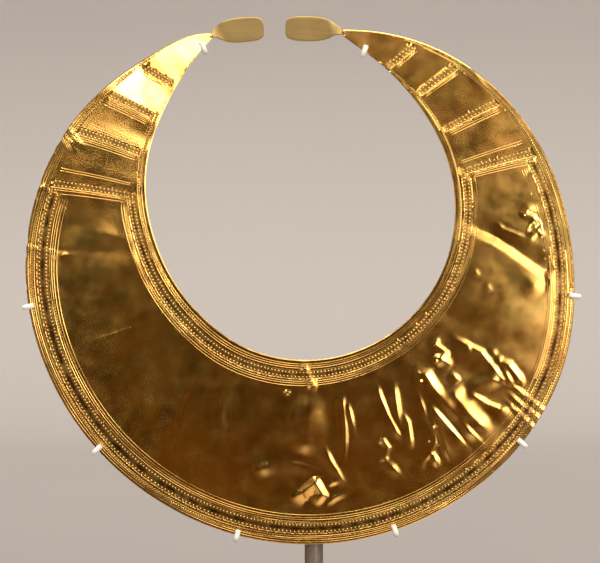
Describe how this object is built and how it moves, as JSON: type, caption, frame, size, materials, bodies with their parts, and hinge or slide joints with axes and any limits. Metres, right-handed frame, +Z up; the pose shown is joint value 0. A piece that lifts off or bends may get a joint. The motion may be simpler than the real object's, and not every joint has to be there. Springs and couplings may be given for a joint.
{
  "type": "lunula on display stand",
  "caption": "Crescent collar of thin beaten gold with dotted border bands and paddle ends, held upright by rim clips on a post and foot.",
  "frame": {"origin": "middle of the foot's underside, under the post's axis", "axes": "+Z up along the post and the crescent's height, the gold's decorated face towards -Y, +X to the viewer's right"},
  "size_m": [0.2238, 0.08, 0.2711],
  "materials": {
    "gold": "burnished sheet gold with fine scratches",
    "painted_steel": "satin grey-brown paint",
    "white_sleeve": "translucent white sleeving"
  },
  "bodies": {
    "root": {"lunula": "gold", "backing_rod": "painted_steel", "prong_1": "painted_steel", "prong_2": "painted_steel", "prong_3": "painted_steel", "prong_4": "painted_steel", "prong_5": "painted_steel", "prong_6": "painted_steel", "clip_1": "white_sleeve", "clip_2": "white_sleeve", "clip_3": "white_sleeve", "clip_4": "white_sleeve", "clip_5": "white_sleeve", "clip_6": "white_sleeve", "clip_7": "white_sleeve", "clip_8": "white_sleeve", "post": "painted_steel", "foot": "painted_steel"}
  },
  "joints": []
}
